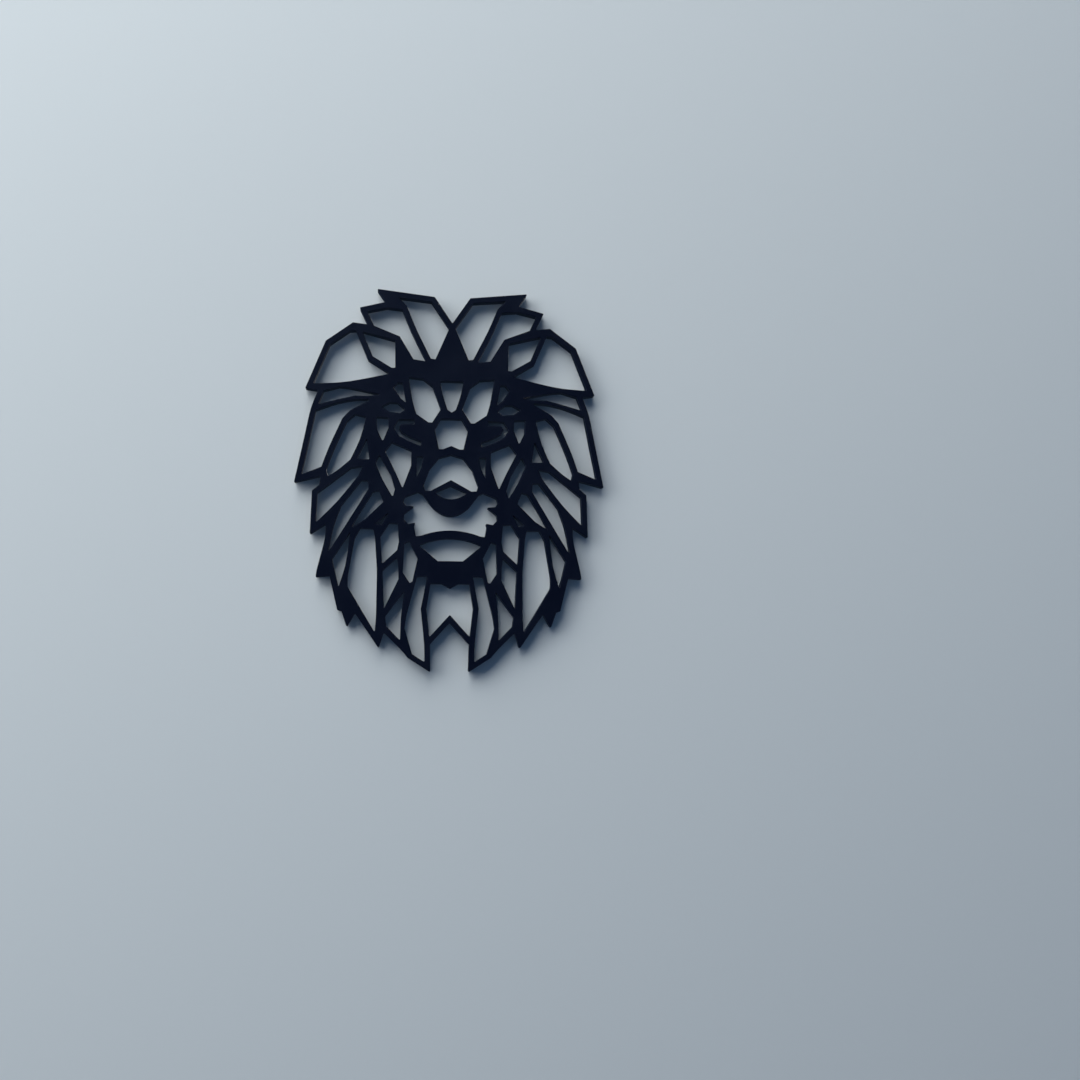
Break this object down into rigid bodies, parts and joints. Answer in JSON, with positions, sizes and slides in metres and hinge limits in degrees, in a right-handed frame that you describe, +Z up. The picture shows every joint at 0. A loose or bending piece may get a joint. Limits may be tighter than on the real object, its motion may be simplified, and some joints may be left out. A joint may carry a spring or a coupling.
{
  "type": "lion head wall sculpture",
  "caption": "Flat openwork lion head for a wall, drawn in thin straight bars like a leaded window, with solid eyes, chin and nose and a flat back that lies against the wall.",
  "frame": {"origin": "on the flat back of the solid forehead, where the plate lies against the wall", "axes": "+Z up along the face, +Y into the wall, so the face looks along -Y, and +X to the right of someone looking at it"},
  "size_m": [0.1612, 0.005, 0.2007],
  "materials": {
    "matte_black_plastic": "matte black printed plastic with fine layer lines"
  },
  "bodies": {
    "root": {"lion_head": "matte_black_plastic"}
  },
  "joints": []
}
